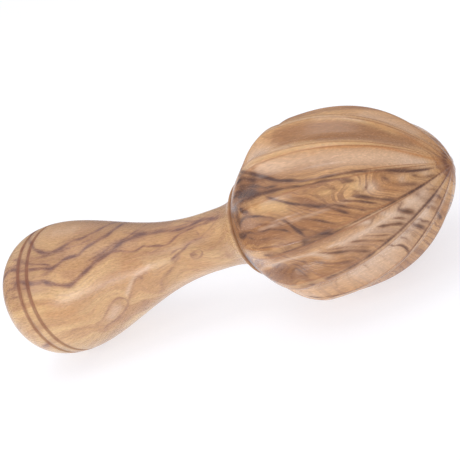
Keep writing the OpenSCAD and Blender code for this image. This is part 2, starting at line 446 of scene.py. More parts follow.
HEAD_VEINS = (
    (0.5, 0.6, (99, -78), (101.5, -68), (104, -60), (106, -53), (108, -47), (110, -41.8), (112, -38.6),
     (114, -36), (116, -33.8), (118.5, -31), (121, -28.3), (123, -25.6), (125, -23.6), (127.5, -22),
     (130, -20.5), (133, -18.3), (137, -17.5), (142, -17.4), (147, -17), (150, -16), (153, -14.6),
     (156, -12.6), (159, -11)),
    (0.35, 0.5, (107, -44), (110, -38.5), (112.5, -34.5), (115, -31.8), (118, -29.3), (120, -27.2)),
    (0.95, 0.75, (107.5, -31.5), (110, -28.2), (113, -24.6), (116, -21.6), (118.5, -19.8)),
    (0.55, 0.75, (104.6, -30.5), (108, -26), (112, -22), (116, -19.4), (120, -18.5)),
    (0.5, 0.7, (108.3, -34), (110.5, -31.2), (114, -28), (118, -24), (121, -21.2), (125, -20)),
    (0.45, 0.6, (109, -20.4), (113, -19.2), (118, -18), (122, -17.6), (126, -17), (130, -16.2), (134, -15),
     (138, -15), (142, -14), (146, -11.6)),
    (0.4, 0.85, (105, -1), (105.3, -4), (106.5, -7), (109, -8.5), (112.5, -7.8), (116, -6), (119, -3.4),
     (121, -1)),
    (0.45, 1, (121.8, -0.2), (123.3, 2), (125, 5.5), (126.4, 8.6), (127.6, 11), (129, 14)),
    (0.35, 0.75, (106.5, 1.5), (109, 2.2), (111.5, 3.4), (114.5, 4), (118, 4), (120.5, 5.6), (123, 7.3),
     (124.8, 9.4)),
    (0.35, 0.6, (107, 5.2), (110, 7), (113, 8.4), (116, 8.7), (119, 9.6), (121.5, 11.4)),
    (0.4, 0.9, (121, -15), (123, -13), (125.4, -10), (128, -7), (131, -4.4), (134, -2)),
    (0.4, 0.8, (130, -4.5), (133, -1.6), (136, 1), (138, 3.8), (140, 7), (141.6, 9.6), (143, 12)),
    (0.35, 0.7, (134, -2), (137, 0.4), (139.6, 3), (142, 6.2), (144.6, 10), (147, 14)),
    (0.35, 0.75, (140, 0), (142.6, 2.4), (145, 5), (147.6, 8.8), (150, 13)),
    (0.5, 0.7, (143, -1), (144.6, 0.6), (147, 4), (148.6, 6.4), (150, 9), (152, 12.6), (154, 16.5)),
    (0.35, 0.7, (128, 3.5), (131, 5.6), (134, 8.4), (137, 12), (139, 15)),
    (0.3, 0.6, (127, 9), (130, 11), (133, 14.4)),
    (0.3, 0.55, (108, 12.4), (112, 13), (117, 13.4), (122, 14.6), (127, 16)),
    (0.3, 0.5, (112, -2.4), (116, -0.6), (119.6, 1.4), (123, 4.6)),
    (0.7, 0.42, (151.6, -11), (152.5, -8), (153, -4), (153.4, 0), (154.6, 3.4), (156.4, 6.6), (158, 9.6),
     (159.4, 13)),
    (0.55, 0.42, (157.8, -6), (158.4, -1), (159, 3), (160, 7), (161.4, 10.4), (162.4, 14)),
    (0.3, 0.55, (101.6, 54), (103, 47.5), (105, 42.5), (107.5, 38.6), (110, 35.3), (113, 31.5), (115, 28.8),
     (116.8, 26.6)),
    (0.3, 0.5, (103, 54), (104.8, 46.8), (107, 42.6), (110, 38.8), (112.6, 35.4), (115, 32.6), (117, 30.4)),
    (0.3, 0.5, (105, 52), (107, 46.6), (110, 42.2), (113, 38.4), (115.4, 35.2), (117.8, 32.2),
     (119.2, 31.4), (120.6, 33), (122, 36.6), (123.4, 40.2)),
    (0.35, 0.5, (115.6, 42.6), (116.8, 38.6), (118.2, 35.4), (119.4, 34.4), (120.6, 37), (121.6, 40.4),
     (122.2, 43.6)),
    (0.45, 0.8, (121.6, 29.6), (122.6, 31.2), (123.6, 33), (124.4, 34.6)),
    (0.35, 0.55, (124.8, 33.4), (127, 35.4), (129.4, 37.6), (131.6, 39.4), (134, 41), (137, 42.6)),
    (0.4, 0.7, (128.6, 28.2), (130, 30.6), (132, 33), (134.6, 34.8), (137, 36.4), (139, 38.8), (140.6, 41),
     (142, 43)),
    (0.3, 0.4, (131.4, 29.6), (134, 31.6), (137, 34), (140, 37.4), (143, 41.6)),
    (0.35, 0.5, (137.2, 30.8), (139.6, 32.8), (141.6, 35), (143.6, 38), (145.4, 41), (147, 43)),
    (0.3, 0.4, (141, 31), (143, 33.4), (145, 36.4), (147, 39.6), (148.5, 42.4)),
    (0.45, 0.75, (146, 31), (148, 34), (149.8, 36.6), (151.2, 39.6), (152.2, 43)),
    (0.3, 0.45, (149.8, 30.6), (151, 33.6), (152.2, 37), (153.2, 41)),
    (0.75, 0.65, (153.4, 19.5), (153.9, 23), (152.8, 27), (153, 31), (153.9, 35), (154.8, 39), (155.6, 43)),
    (0.9, 0.3, (157.3, 20), (157.8, 27), (157.8, 33), (158.8, 41)),
    (0.4, 0.4, (159.4, 24), (159.8, 31), (160.6, 38), (161, 43)),
    (0.35, 0.25, (124, 21), (126.6, 22), (130, 22.6), (136, 23.4), (141, 22.6)),
    (0.45, 0.35, (144.6, 26), (146, 24), (147.4, 21.4), (148.6, 19.6)),
    (0.35, 0.3, (148.6, 25), (150, 22.6), (151.4, 20)),
    (0.4, 0.65, (146.3, 47), (146.5, 50), (146.2, 54), (146.3, 58), (147.1, 62), (147.5, 66), (147.3, 70),
     (146.9, 73)),
    (0.7, 0.65, (153.8, 46.5), (153.4, 50), (153.1, 55), (153.1, 60), (153.6, 66), (153.8, 70)),
    (1.1, 0.35, (151.8, 46), (151.3, 52), (151.1, 60), (151.2, 69)),
    (0.35, 0.45, (154.4, 47), (154.8, 54), (154.5, 60), (155.2, 66), (155.6, 71)),
    (0.55, 0.5, (158, 47), (157.8, 54), (157.8, 62), (158.1, 69)),
    (0.3, 0.4, (159.2, 48), (159, 56), (159.1, 66)),
    (0.45, 0.6, (160.6, 46), (160.3, 54), (160.2, 62), (160.4, 70)),
    (0.35, 0.4, (138.6, 47.5), (137.4, 52), (136.4, 58), (136, 64)),
    (0.3, 0.35, (133, 48), (131.4, 53), (129.8, 59), (129, 65)),
    (0.3, 0.3, (129.6, 48), (127.6, 53), (125.4, 59), (124, 66)),
    (0.3, 0.35, (118, 50), (115.6, 55), (113, 60), (111, 66)),
    (0.3, 0.35, (114, 48.4), (111, 53), (108.4, 59), (106.6, 66)),
    (0.3, 0.35, (110, 49), (107, 54), (105, 60), (103.4, 68)),
    (0.3, 0.35, (106, 50), (104, 55), (102.4, 62)),
    (0.35, 0.35, (134, 74.6), (132, 80), (130, 86), (128, 92)),
    (0.35, 0.35, (127, 73), (124.6, 79), (122, 86), (120, 92)),
    (0.35, 0.35, (120, 71.6), (117.4, 78), (115, 85), (113, 92)),
    (0.3, 0.25, (143, 47.5), (142.2, 53), (141.6, 60), (141.6, 67)),
    (0.45, 0.35, (149.6, 47), (149.2, 52), (149, 60), (149.2, 68)),
    (0.6, 0.4, (144.8, 75), (144, 80), (143, 85), (142, 89)),
    (0.6, 0.4, (155, 72.5), (154, 79), (152.6, 85), (151.5, 90)),
    (0.7, 0.6, (158.2, 72), (157.4, 79), (156.6, 86), (156, 92), (155.2, 99)),
    (0.5, 0.3, (149.4, 73), (148.2, 79), (146.8, 86), (145.6, 92)),
    (0.8, 0.3, (141, 74), (139.4, 79), (137.6, 85), (136, 91)),
    (0.5, 0.3, (112, -98), (115, -90), (117, -81), (119, -76), (121.8, -67)),
)

# Marks over the veins, by layer, written as the veins are. A line that ends
# where it starts is a closed patch, and 'calm' quietens the streaks under it
# A few of the pale marks are painted highlights and sheen, and a few of the brown and dark marks are
# painted shade; each is noted where it stands
HANDLE_MARKS = {"dark": (
    (1.5, 0.45, (46, -57), (46.8, -53)),
    (0.55, 1, (16.4, -53), (16.8, -51), (16.4, -49), (16.4, -53)),
    (0.55, 1, (16.4, -39), (16.8, -37), (16.4, -34), (16.4, -39)),
    (0.5, 1, (16.3, -30), (16.7, -28.5), (16.4, -26.5), (16.3, -30)),
    (0.5, 1, (16.2, -20), (16.6, -18), (16.2, -16), (16.2, -20)),
    (0.5, 1, (20.5, -46), (20.8, -44), (20.5, -41), (20.5, -46)),
    (0.5, 1, (20.3, -34), (20.8, -32.6), (20.4, -31), (20.3, -34)),
    (0.5, 0.9, (20.2, -17), (20.6, -15), (20.2, -13), (20.2, -17)),
    (0.3, 0.6, (12, -43), (15, -40), (17.5, -38), (19.5, -36)),
    (0.45, 0.75, (23.6, -43.6), (26, -40), (28.5, -38.4), (31.5, -39.6), (34, -44)),
    (0.8, 0.6, (10.8, 51.5), (12.4, 49.3), (14.2, 48), (15.8, 45.2), (17, 43)),
    (0.5, 0.7, (28.3, 39.6), (28.7, 40.6)),
    (0.3, 0.25, (26, 44), (27.5, 41.5), (29.5, 42), (30.3, 46), (29.5, 51), (27.5, 53), (26, 50),
     (25.5, 47), (26, 44)),
    (0.3, 0.2, (27.2, 45), (28.6, 45), (28.8, 48.5), (27.6, 49.5), (27.2, 45)),
    (0.4, 0.45, (76.5, 13), (77, 10.5), (78.5, 9), (80.4, 8.6), (81, 12), (80.6, 17), (79.4, 21.5),
     (78.2, 23), (77, 20.5), (76.5, 16.5), (76.5, 13)),
    (0.3, 0.45, (77.2, 14), (78.2, 13.4), (78.8, 16), (78, 18.6), (77.2, 17), (77.2, 14)),
    (0.7, 0.5, (57, 16.5), (57.4, 20), (57.9, 23.5)),
    (0.6, 0.35, (62, 18), (62.6, 20)),
    (1.4, 0.25, (51, 56), (52, 61), (53, 70)),
    (1.6, 0.25, (88, 28), (89.5, 38), (91, 46)),
    (1.6, 0.2, (56, -50), (60, -58), (64, -70), (66, -84)),
    (0.35, 0.3, (70, -82), (74, -68), (78, -57), (82, -48), (86, -40)),
    (0.35, 0.25, (74, -82), (78, -68), (82, -57), (86, -47), (90, -36)),
    (0.3, 0.25, (78, -78), (82, -66), (86, -54), (90, -42), (93, -30)),
    (0.35, 0.25, (84, -70), (88, -56), (91, -44), (94, -32)),
    (0.4, 0.45, (4, -40), (8, -37), (12, -35.5), (16, -33.5), (20, -33)),
    (0.35, 0.4, (3, -8), (6, -19), (10, -23.5), (14, -23.5), (18, -22), (22, -21)),
    (0.35, 0.3, (4, -4), (7, -14), (10, -19.5), (14, -19.5), (18, -18.5)),
    (0.45, 0.5, (3, 10), (5, 0), (8, -10), (11, -14.5), (14, -13.5), (18, -11.5), (21, -10.5)),
    (0.35, 0.4, (4, 14), (7, 2), (10, -5), (14, -6), (18, -4)),
    (0.4, 0.3, (5, 22), (8, 10), (11, 4), (15, 2), (20, 3)),
    (0.5, 0.25, (6, 34), (9, 22), (12, 16), (16, 13)),
    (0.6, 0.25, (6, 60), (9, 48), (12, 38), (15, 30)),
    (3, 0.22, (2.5, -40), (3, -10), (3, 20), (3.5, 50), (5, 75)),
    (1.2, 0.36, (43, -19), (50, -32), (56, -43), (62, -49)),
    (0.35, 0.4, (52, -60), (56, -55), (60, -55), (66, -56), (72, -54), (78, -54)),
    (0.3, 0.35, (30, -46), (34, -50), (37, -56), (40, -66), (41.5, -80)),
    (0.3, 0.35, (41, -40), (44.5, -48), (47, -58), (48.4, -72), (48.6, -86)),
    (2.2, 0.2, (44, -96), (50, -86), (54, -72)),
    (0.3, 0.3, (22, -36), (26, -35.4), (30, -35.6), (34, -38)),
    (0.3, 0.25, (22, -31.5), (27, -30.6), (31, -30.6), (34, -33)),
    (0.3, 0.25, (41, -27), (45, -31), (48, -36), (50, -42), (51.5, -50)),
), "pale_and_sheen": (
    (1.6, 0.45, (60, 70), (66, 68), (74, 66), (84, 64)),
    (0.7, 0.7, (49.5, 36), (51, 30.5), (53, 23), (55, 16.5), (57, 12.5), (60, 9.5), (62, 5)),
    (2, 0.6, (39, 54), (41.5, 50), (44, 45), (46, 40)),
    # Painted light on the upper side of the bulb
    (3, 0.35, (26, -62), (31, -64), (36, -68)),
), "warm": (
    (3.5, 0.4, (52, -8), (57, 0), (60, -4)),
    (4, 0.35, (23, 12), (28, 20), (34, 28)),
    (3, 0.25, (72, 35), (78, 38), (82, 32)),
), "brown_and_shade": (
    (2.6, 0.75, (19, -34), (25, -32), (31, -31), (36, -36)),
    # Darker wood and painted shade round the base of the neck, under the head's lip
    (3, 0.5, (92, -80), (93, -40), (93, 0), (92, 40), (91, 70)),
    (4.5, 0.8, (30, -96), (40, -92), (50, -86), (60, -80), (70, -82)),
    (2.2, 0.5, (33, -45), (38, -54), (42, -64), (44, -80)),
    (2.2, 0.55, (42, -45), (46, -56), (47.5, -68), (48.5, -85)),
    (1.6, 0.45, (62, -50), (68, -48), (74, -45), (80, -49)),
    (2, 0.45, (8, -31), (14, -30), (20, -28)),
    (3, 0.5, (8, -6), (14, -6), (20, -9), (26, -15)),
    (3.4, 0.75, (74, -15), (80, -6), (85, 6), (88, 16), (91, 24)),
    (2.4, 0.65, (52, -19), (59, -14), (66, -9), (71, -8)),
    (1.4, 0.45, (8, -19), (14, -17), (20, -14)),
    (3, 0.7, (84, -92), (88, -70), (90, -50), (91, -30)),
)}
HEAD_MARKS = {"calm": (
    (5, 1, (104, -92), (115, -88), (130, -84), (145, -82), (160, -80)),
    (5, 1, (106, -60), (118, -58), (132, -56), (146, -56), (160, -56)),
    (3.2, 1, (112, -46), (122, -44), (134, -42), (148, -42), (160, -42)),
    (3, 1, (122, -34), (132, -30), (142, -30), (152, -28), (160, -26)),
    (4.5, 0.6, (106, 60), (118, 60), (130, 59), (142, 58), (158, 58)),
    (2.5, 0.8, (126, 23), (140, 23), (158, 24)),
    (2.5, 1, (155, -6), (160, -2)),
    (4, 0.8, (110, 82), (124, 80), (138, 79), (152, 79)),
), "brown_and_shade": (
    # Darker wood and painted shade on the upper wall of the second flute from the top, which faces away
    # from the light
    (2.8, 0.95, (119, -62), (123, -61.5), (130, -61.5), (140, -60), (152, -60), (160, -60)),
    (1.2, 0.95, (111, -93), (118, -91), (126, -90), (134, -90.5), (142, -92.5), (148, -95)),
    (3.6, 0.6, (104, -12), (110, -4), (117, 2), (125, 7), (132, 11)),
    (2.2, 0.75, (101.5, -46), (102.6, -25), (103, -8), (103, 10), (102.6, 30)),
    (1.6, 0.75, (117, -31), (124, -29.5), (132, -29), (142, -29)),
    (2, 0.45, (112, 44), (117, 49), (121, 52)),
    (0.8, 0.45, (106.5, -95), (108, -88), (110.5, -82)),
    (2.6, 1, (100.6, -56), (100.8, -25), (100.8, 0), (100.8, 30), (100.8, 60), (100.8, 88)),
    # Darker wood and painted shade in the second flute from the top
    (2.8, 0.85, (122, -57), (132, -54), (142, -53), (152, -54)),
    (3, 0.6, (105, -34), (107.5, -29), (111, -25), (115, -22)),
    (3.2, 0.95, (105, -20), (113, -18.5), (120, -17), (126, -14)),
    (3.5, 0.5, (105, 2), (114, 7), (122, 9), (134, 9)),
    (3.2, 0.95, (105, 43), (110, 40.5), (114, 37), (118, 35.5), (121.5, 37.5), (124, 41)),
    (1.8, 0.6, (125, 41), (130, 42), (136, 42.5), (141, 43.5)),
    (1.8, 0.9, (114, 20), (121, 20.6), (128, 20.4), (136, 19.6), (144, 18.8), (152, 18)),
    (1, 0.3, (132, 33), (137, 36), (141, 41)),
    (1.5, 0.75, (126.6, 48), (124.4, 51.5), (122, 56), (119.6, 61)),
    (0.8, 0.5, (135.6, 48), (133.8, 53), (131.8, 59)),
    (2.2, 0.8, (134, -50), (142, -48), (150, -48), (158, -50)),
), "gold": (
    (4.2, 0.8, (111, -86), (116, -82), (124, -80), (132, -79), (138, -78)),
    (2.4, 0.55, (106, -67), (112, -69), (118, -70)),
    (1.6, 0.6, (121, -44), (126, -46), (131, -45), (137, -43.5)),
    (0.8, 0.9, (106.8, -15), (108.2, -13.4), (109, -10.4), (107.8, -10.6), (106.8, -15)),
    (0.95, 0.95, (110, -66), (118, -67.5), (126, -68), (134, -68), (142, -67.4), (150, -66), (156, -63.5)),
    (1.15, 0.95, (105, -46), (109, -42), (114, -40.8), (126, -40.6), (140, -41), (152, -40.4)),
    (2.6, 0.9, (113, -12), (117, -11), (122, -9), (127, -7)),
    (1.2, 0.75, (135.8, -8), (138, -8), (140.4, -7.8)),
    (1.4, 0.85, (143, -8), (145.4, -7.4), (146.2, -4), (147, -2)),
), "pale_and_sheen": (
    (3, 0.55, (142, -84), (150, -82), (159, -80)),
    # Painted light on the lower wall of the second flute from the top, which faces the light
    (2.2, 0.55, (110, -50), (120, -47), (130, -45)),
    # Painted sheen: a whitish shine down the third flute from the top
    (2.5, 0.65, (108, -50), (113, -42), (119, -36), (128, -33), (138, -32), (150, -30), (159, -27)),
    (3, 0.95, (108, -58), (112, -55), (117, -51), (121, -47)),
    (1.8, 0.35, (134, -28), (142, -27), (152, -24), (158, -18)),
    (4, 0.4, (112, 62), (124, 60), (136, 58), (148, 58)),
    (3, 0.45, (132, 66), (138, 66), (145, 65)),
    (3.4, 0.9, (130, 58), (138, 55), (146, 54), (158, 53)),
    (3, 0.7, (118, 84), (126, 81), (134, 80), (142, 79), (150, 79)),
    (1.6, 0.8, (109, 64), (113, 66.5), (117, 68)),
    (2.6, 0.6, (134, 30), (144, 31), (150, 32)),
    (3, 0.9, (149, 33), (154, 33), (160, 34)),
    (1.5, 0.85, (156, -25), (159.5, -22), (162.2, -19)),
    (0.8, 0.6, (159.8, -2), (160.8, 2), (161.8, 5)),
    (0.4, 0.8, (102.9, -16), (103.4, -10), (104, -5), (104.6, -2)),
    # Painted highlight: a thin whitish line on the rounded edge at the foot of the head
    (0.35, 0.7, (100.2, 18), (100.4, 30), (100.4, 44), (100.4, 58)),
    (0.45, 0.6, (112, -67), (120, -68.4), (128, -69), (136, -68.8), (144, -68)),
    (0.5, 0.6, (133, -67.3), (138, -67.6), (143, -67.3), (148, -66.4)),
    # Painted highlight along the bottom of the flute that faces the camera
    (0.5, 0.5, (113, 2), (120, 2.6), (128, 3.2), (136, 3), (144, 2.4)),
    (1.8, 0.8, (147, -6), (148.6, -3), (150, 2)),
    (1.1, 0.6, (155.6, -6), (155.8, -1), (156.4, 3.4)),
    (0.6, 0.6, (160, -3), (160.6, 2)),
    (0.6, 0.65, (104.4, 36.4), (106.4, 33.4), (109, 31), (112, 29), (115.4, 26.8), (118.4, 25.2), (122, 26),
     (126, 27.2), (130, 27.2)),
    (0.9, 0.75, (125.8, 27.6), (127.4, 29), (129.4, 32.4), (132, 36)),
    # Painted highlight along the bottom of the next flute down
    (0.5, 0.9, (131.8, 27.2), (133.6, 27.4), (135.2, 27.6)),
    (0.55, 0.8, (138.6, 27.6), (142, 28), (145, 28.6), (149, 28.6), (152, 28.8)),
    (0.45, 0.55, (140.6, 18.2), (144, 18), (148, 17.8), (151.4, 17.6)),
    (0.8, 0.85, (143.5, 20), (145.6, 22), (146.4, 26)),
    (0.8, 0.85, (149.6, 19), (150, 24), (151, 29)),
    (0.8, 0.85, (155.4, 20), (155.6, 27), (156.6, 35), (157.4, 42)),
    # Painted highlight along the bottom of the next flute down
    (0.6, 0.7, (134, 27), (137, 29), (141, 29.8), (145, 30)),
    (1.1, 0.6, (156, 48), (156, 56), (156.2, 66)),
    (0.9, 0.5, (149.8, 47), (150, 56), (150, 66)),
    (0.5, 0.5, (158.6, 48), (158.5, 56), (158.6, 66)),
), "warm": (
    (0.45, 0.75, (115.5, -89), (117, -82), (118.8, -76), (120.6, -71), (122.2, -66.5)),
    (1.4, 0.45, (107.5, -47), (108.5, -42), (109.5, -38)),
    (0.5, 0.8, (104.6, -49), (105.6, -46), (106.8, -44)),
    (0.55, 0.95, (163, -27), (163.2, -18), (163.3, -10)),
    (0.9, 0.9, (106.6, -33), (107, -32.4)),
    (0.6, 0.9, (104.4, -2.4), (105, -1.4)),
    (0.35, 0.85, (113.5, -36.6), (116, -36.5), (119, -36.9)),
    (0.5, 0.8, (122, -40.8), (122.8, -40.8)),
    (0.5, 0.7, (135.4, -36), (136.6, -36)),
    (0.42, 1, (137, -38.8), (140, -38.4), (143, -38), (147, -37.8), (150, -38.2), (153, -38), (156, -36.8),
     (160, -34), (163.5, -31)),
    (0.6, 0.6, (149, -65.8), (153.5, -64.8), (156, -63.5), (158, -62.5), (161, -58)),
    (0.34, 0.6, (114, -40.6), (120, -39.4), (126, -39.4), (132, -39.2), (138, -38.6)),
    (0.7, 0.9, (116, -11), (117, -11)),
    (0.6, 0.9, (119.4, -5.6), (120.6, -5.4)),
    (0.9, 0.8, (107.6, -8.4), (109, -8.2)),
    (0.8, 0.7, (104.8, 38.6), (106.2, 38)),
), "dark": (
    (0.3, 0.3, (119, -90), (122, -83), (125.5, -76), (128, -71)),
    (0.3, 0.25, (128, -89), (131, -82), (134, -74.5), (135.5, -69.5)),
    (0.8, 0.4, (100.6, -50), (100.7, -25), (100.7, 0), (100.7, 30), (100.7, 60), (100.7, 80)),
    # Painted shade on the lower side of the head's foot, where it faces the neck and the floor's shadow
    (2.2, 0.85, (100.6, 22), (101, 45), (101.2, 66)),
    (0.45, 0.6, (109, -19.6), (114, -18.6), (119, -18.2), (124, -17.6), (128, -17)),
    (0.25, 0.3, (126.5, -49), (128, -46), (129.5, -43), (130, -41)),
    (0.5, 0.9, (114.5, -35.6), (117, -32.6), (119.6, -29.8), (122, -27), (124.6, -24), (127.5, -22),
     (131, -19.8)),
    (0.34, 0.85, (154, -12.6), (156.4, -10.2), (158.4, -8.2), (160.4, -6.6), (162.6, -5.4)),
    (1.8, 0.4, (110, -28.4), (113.5, -24.6), (116.5, -21.6)),
    (1.1, 0.4, (104.8, -26), (105.3, -19), (105.8, -12), (106.3, -8)),
    (0.65, 0.85, (109.2, -14.8), (110.8, -13.2), (112.4, -11.2), (110.4, -12.4), (109.2, -14.8)),
    (0.7, 0.85, (106, -31), (109, -27.8), (112, -23.8), (115, -20.8), (118, -18.8)),
    (0.55, 0.85, (106, -36.4), (108.4, -36.6), (111, -35.2), (114, -31.8), (117, -29.2)),
    (0.45, 0.9, (103.8, -30.8), (105, -31.6), (106.6, -31.2), (105, -30.2), (103.8, -30.8)),
    (1.3, 0.6, (102, -17), (104, -20), (106.4, -18), (106.6, -12), (104.4, -9), (102, -17)),
    (0.75, 1, (103.4, 3), (105, 2.2), (106.6, 2.8), (105, 4), (103.4, 3)),
    (0.45, 0.45, (131.5, -10), (132.6, -11.6), (134, -12.5)),
    (0.45, 0.65, (142, -11), (144, -11.2), (146.3, -10.5)),
    (0.4, 0.45, (149.5, -10), (148.8, -8), (148.5, -6), (147.6, -3), (146.5, -1)),
    (0.4, 0.35, (135.3, -8.6), (136.4, -10), (138.4, -10.2), (140.4, -9), (141, -7.4), (139.8, -5.9),
     (137.6, -5.7), (135.9, -6.7), (135.3, -8.6)),
    (0.35, 0.3, (144.2, -7), (145, -3.4), (146.2, -0.8)),
    (1, 0.65, (126.5, 17.4), (130, 16.2), (133.5, 16.2), (138, 16.8)),
    (0.5, 0.35, (112, 18), (118, 17.4), (125, 17.2)),
    (0.24, 0.62, (113, 18.8), (117, 19), (122, 19.2), (127, 18.8), (132, 18.6), (137, 18.2), (143, 17.2),
     (149, 17), (155, 17.2), (165, 17.5)),
    (0.3, 0.6, (154, 16), (156, 16.8), (158.6, 17.4), (160.6, 18)),
    (0.35, 0.5, (155.4, 17), (158, 17.3)),
    (1.5, 0.22, (117, 42), (119, 38), (121, 41)),
    (0.8, 0.5, (116.6, 45.6), (119, 46.6), (121, 47.4), (123, 46.8)),
    (0.55, 0.6, (125.3, 46.6), (128, 46.2), (131, 46.2), (134, 45.8), (137, 45.6), (140, 45.4),
     (143, 45.2)),
    (0.4, 0.6, (154, 44.4), (156.6, 43.8), (158.6, 44.6), (160.8, 45.6)),
    (0.35, 0.5, (158.8, 45), (160.8, 45.4)),
    (0.5, 0.35, (144.4, 45), (147, 44.2), (150, 44.8), (153, 44.4)),
    (0.45, 0.6, (99.8, -48), (100.2, -25), (100.2, -5), (100.4, 12)),
    (0.4, 0.6, (102.2, -28), (102.4, -18), (102.8, -10), (103.4, -4), (104.2, 2)),
    (0.7, 0.5, (103.8, -20), (104.6, -14), (105.2, -10), (105.6, -6)),
    (0.35, 0.5, (101.6, 6), (102.2, 18), (102.4, 30), (102, 44)),
    (1, 0.6, (163.2, -110), (164, -60), (164.3, 0), (163.8, 60)),
    (0.22, 0.65, (140, 45.4), (144, 44.8), (148, 44.2), (152, 44), (156, 44.4), (165, 46)),
    (0.26, 0.6, (112, 66), (118, 68), (122, 69.5), (126, 70.5), (130, 71.5), (135, 72.4), (140, 72.6),
     (144, 72.6), (147, 72.2), (150, 71), (155, 70.8), (165, 72)),
)}

# Burnt lines all round: along, half width, strength and the darkest side
HANDLE_BURNS = (
    *((ring, 0.8, 0.8, -36) for ring in RING_PLACES),
    (SHOULDER, 0.45, 0.8, 0),
    (SHOULDER - 0.7, 0.8, 0.45, 0),
)
HEAD_BURNS = (
    (SHOULDER, 0.45, 0.8, 0),
    (SHOULDER + HEAD_LENGTH, 2.2, 0.4, 60),
)


def smooth_curve(points):
    """A Catmull-Rom curve through points, in steps of about LINE_STEP mm."""
    points = np.array(points, float)
    ends = np.vstack((2 * points[0] - points[1], points, 2 * points[-1] - points[-2]))
    curve = []
    for before, start, end, after in zip(ends, ends[1:], ends[2:], ends[3:]):
        run = math.hypot(end[0] - start[0], (end[1] - start[1]) * MM_PER_DEGREE)
        steps = max(1, math.ceil(run / LINE_STEP))
        t = np.arange(steps)[:, None] / steps
        curve.append(start + t * (end - before) / 2
                     + t ** 2 * (before - 2.5 * start + 2 * end - after / 2)
                     + t ** 3 * (1.5 * (start - end) + (after - before) / 2))
    curve.append(points[-1:])
    return np.vstack(curve)


class Figure:
    """The figure of the wood on one turned piece, with some painted highlights and painted shade among its
    marks, kept in its points.
    """

    def __init__(self, piece):
        self.mesh = piece.data
        spots = np.empty(len(self.mesh.vertices) * 3, np.float32)
        self.mesh.vertices.foreach_get("co", spots)
        rest = np.array(Matrix.Rotation(math.radians(90 - REST_TILT), 3, "Y"))
        self.spots = (spots.reshape(-1, 3) - np.array(SHIFT)) @ rest / MM
        self.along = self.spots[:, 2]
        self.around = np.degrees(np.arctan2(self.spots[:, 1], self.spots[:, 0]))
        faces = [tuple(face.vertices) for face in self.mesh.polygons]
        self.skin = BVHTree.FromPolygons(self.spots.tolist(), faces)
        self.layers = {name: np.zeros(len(self.spots)) for name in LAYERS}

    def on_skin(self, curve):
        """Points of the surface below a curve of along and degrees from the camera's side."""
        hits = []
        for along, facing in curve:
            turn = math.radians(facing - CAMERA_SIDE)
            outward = Vector((math.cos(turn), math.sin(turn), 0))
            hit = self.skin.ray_cast(outward * OUTSIDE + Vector((0, 0, along)), -outward)[0]
            if hit is not None:
                hits.append(tuple(hit))
        return np.array(hits)

    def draw(self, layer, half_width, strength, points):
        """Draw a soft line through listed points. An open one fades at its ends."""
        line = self.on_skin(smooth_curve(points))
        reach = half_width * LINE_REACH
        if layer == "dark":
            reach *= HALO_WIDTH
        inside = (self.spots > line.min(0) - reach) & (self.spots < line.max(0) + reach)
        which = np.flatnonzero(inside.all(axis=1))
        near = self.spots[which]
        gaps = (near ** 2).sum(1)[:, None] + (line ** 2).sum(1) - 2 * near @ line.T
        place = gaps.argmin(1)
        gap = np.sqrt(np.maximum(gaps.min(1), 0))
        soft = np.exp(-(gap / half_width) ** 2)
        if layer == "dark":
            soft += HALO * np.exp(-(gap / half_width / HALO_WIDTH) ** 2)
            soft *= 1 - UNEVENNESS + UNEVENNESS * np.sin(place * LINE_STEP * UNEVEN_RUN + points[0][0])
        if points[0] != points[-1]:
            from_end = np.minimum(place, len(line) - 1 - place) * LINE_STEP
            soft *= np.clip(LINE_END + from_end / FADE_LENGTH, 0, 1)
        painted = self.layers[layer]
        painted[which] = 1 - (1 - painted[which]) * (1 - np.clip(strength * soft, 0, 1))

    def scorch(self, place, half_width, strength, darkest):
        """A burnt line all round, up to twice as strong at its darkest side."""
        turn = np.radians(self.around + CAMERA_SIDE - darkest)
        band = strength * (0.75 + 0.25 * np.cos(turn)) * np.exp(-((self.along - place) / half_width) ** 4)
        self.layers["burnt"] = np.maximum(self.layers["burnt"], band)

    def lay_grain(self, direction, rise, veins):
        """Growth rings as flat sheets across a direction, bent to follow the veins."""
        turn = math.radians(direction - CAMERA_SIDE)
        sheets = np.array((math.cos(turn), math.sin(turn), rise))
        pins, bends = [], []
        for _, _, *points in veins:
            line = self.on_skin(points)
            level = line @ sheets
            pins.append(line)
            bends.append(level.mean() - level)
        pins = np.vstack(pins)
        bends = np.concatenate(bends)
        count = len(pins)
        flat = np.hstack((np.ones((count, 1)), pins))
        apart = np.linalg.norm(pins[:, None] - pins[None], axis=2)
        system = np.block([[GRAIN_SLACK * np.eye(count) - apart, flat], [flat.T, np.zeros((4, 4))]])
        weights = np.linalg.solve(system, np.concatenate((bends, np.zeros(4))))
        bent, level, tilt = weights[:count], weights[count], weights[count + 1:]
        grain = self.spots @ (sheets + tilt) + level
        for part in np.array_split(np.arange(len(grain)), BATCHES):
            apart = np.linalg.norm(self.spots[part, None] - pins[None], axis=2)
            grain[part] -= apart @ bent
        self.layers["grain"] = grain

    def keep(self):
        """Store every layer as an attribute that the material reads."""
        facing = np.abs((self.around + CAMERA_SIDE + 180) % 360 - 180)
        self.layers["wild"] = np.clip((facing - DRAWN_TO) / DRAWN_FADE, 0, 1)
        for name, values in self.layers.items():
            stored = self.mesh.attributes.new(name, "FLOAT", "POINT")
            stored.data.foreach_set("value", values.astype(np.float32))


def draw_figure(piece, direction, rise, veins, marks, burns):
    """Lay the grain of one piece and draw everything that shows on it."""
    figure = Figure(piece)
    figure.lay_grain(direction, rise, veins)
    for half_width, strength, *points in veins:
        figure.draw("dark", half_width, strength, points)
    for layer, lines in marks.items():
        for half_width, strength, *points in lines:
            figure.draw(layer, half_width, strength, points)
    for burn in burns:
        figure.scorch(*burn)
    figure.keep()


